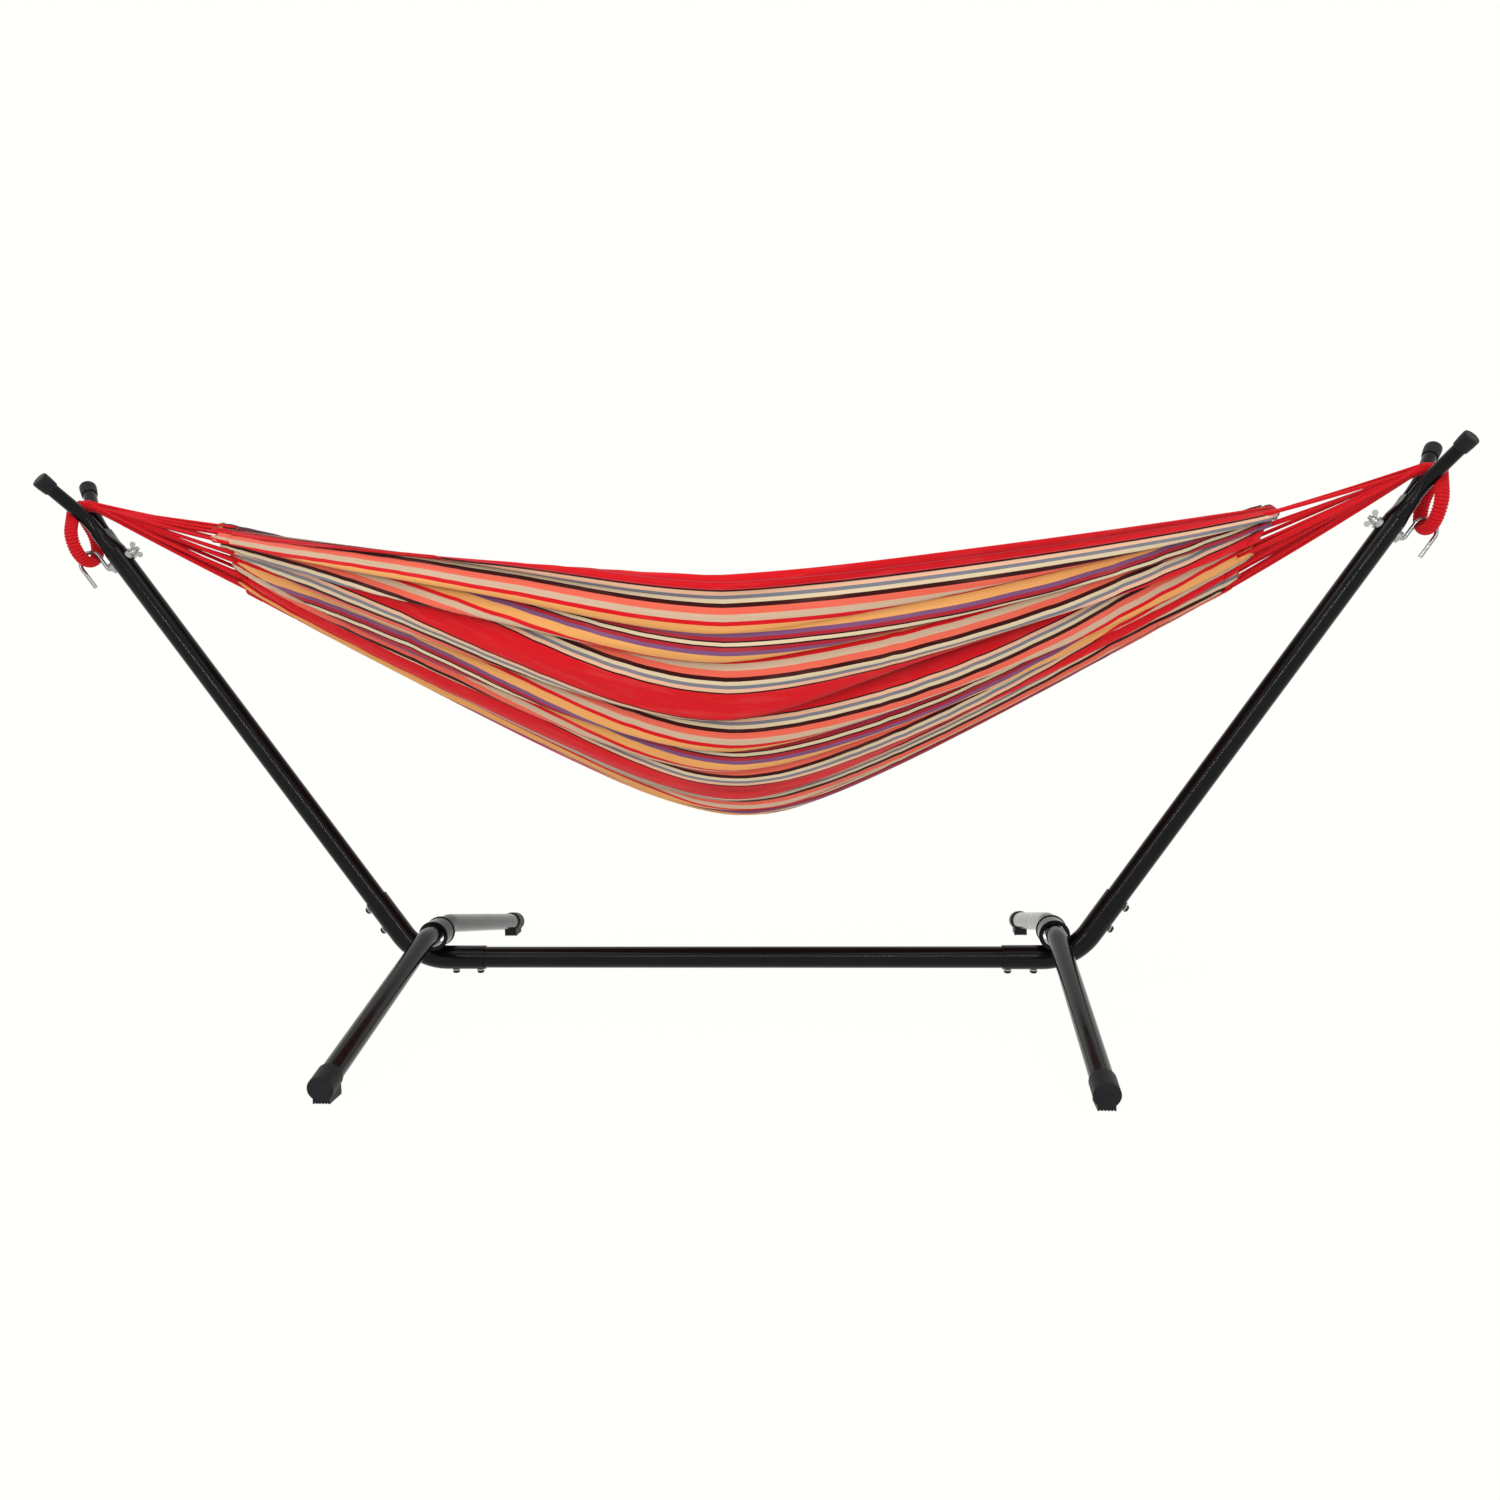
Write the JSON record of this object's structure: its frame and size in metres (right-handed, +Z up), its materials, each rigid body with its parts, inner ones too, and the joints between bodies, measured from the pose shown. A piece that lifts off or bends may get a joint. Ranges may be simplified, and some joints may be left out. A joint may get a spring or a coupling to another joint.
{
  "type": "hammock on stand",
  "caption": "Striped cotton hammock slung by cord clews between the forked arms of a free-standing black steel tube stand with cross legs.",
  "frame": {"origin": "on the floor under the middle of the stand", "axes": "+X along the hammock, +Y to the back, +Z up"},
  "size_m": [2.6942, 1.2586, 1.06],
  "materials": {
    "black_tube": "gloss black powder coat",
    "black_rubber": "satin",
    "black_bolt": "black oxide",
    "zinc": "zinc plated",
    "zinc_rod": "dark plated rod",
    "red_cord": "twisted cotton cord",
    "striped_cloth": "woven cotton with lengthwise stripes"
  },
  "bodies": {
    "stand": {"base_tube": "black_tube", "left_corner_sleeve": "black_tube", "left_leg_ring": "black_tube", "left_arm_tube": "black_tube", "left_front_horn": "black_tube", "left_front_horn_cap": "black_rubber", "left_front_leg": "black_tube", "left_front_foot": "black_rubber", "left_back_horn": "black_tube", "left_back_horn_cap": "black_rubber", "left_back_leg": "black_tube", "left_back_foot": "black_rubber", "left_sleeve_bolts": "black_bolt", "left_bolt_washers": "zinc", "left_press_nuts": "zinc", "left_saddle_washers": "zinc", "left_end_loop": "red_cord", "right_corner_sleeve": "black_tube", "right_leg_ring": "black_tube", "right_arm_tube": "black_tube", "right_front_horn": "black_tube", "right_front_horn_cap": "black_rubber", "right_front_leg": "black_tube", "right_front_foot": "black_rubber", "right_back_horn": "black_tube", "right_back_horn_cap": "black_rubber", "right_back_leg": "black_tube", "right_back_foot": "black_rubber", "right_sleeve_bolts": "black_bolt", "right_bolt_washers": "zinc", "right_press_nuts": "zinc", "right_saddle_washers": "zinc", "right_end_loop": "red_cord"},
    "left_hook_rod": {"left_hook": "zinc_rod"},
    "left_wing_nut_body": {"left_wing_nut": "zinc"},
    "hammock": {"left_clew_cords": "red_cord", "right_clew_cords": "red_cord", "hammock_bed": "striped_cloth"},
    "right_hook_rod": {"right_hook": "zinc_rod"},
    "right_wing_nut_body": {"right_wing_nut": "zinc"}
  },
  "joints": [
    {"name": "hammock_swing", "type": "hinge", "parent": "stand", "child": "hammock", "pos_m": [0, 0, 1.002], "axis": [1, 0, 0], "range_deg": [-32, 32]},
    {"name": "left_hook_swivel", "type": "hinge", "parent": "stand", "child": "left_hook_rod", "pos_m": [-1.2219, 0, 0.89197], "axis": [-0.8141, 0, -0.5807], "range_deg": [-12, 12]},
    {"name": "left_wing_nut_turn", "type": "hinge", "parent": "left_hook_rod", "child": "left_wing_nut_body", "pos_m": [-1.19666, 0, 0.90998], "axis": [-0.8141, 0, -0.5807], "continuous": true},
    {"name": "right_hook_swivel", "type": "hinge", "parent": "stand", "child": "right_hook_rod", "pos_m": [1.2219, 0, 0.89197], "axis": [0.8141, 0, -0.5807], "range_deg": [-12, 12]},
    {"name": "right_wing_nut_turn", "type": "hinge", "parent": "right_hook_rod", "child": "right_wing_nut_body", "pos_m": [1.19666, 0, 0.90998], "axis": [0.8141, 0, -0.5807], "continuous": true}
  ]
}
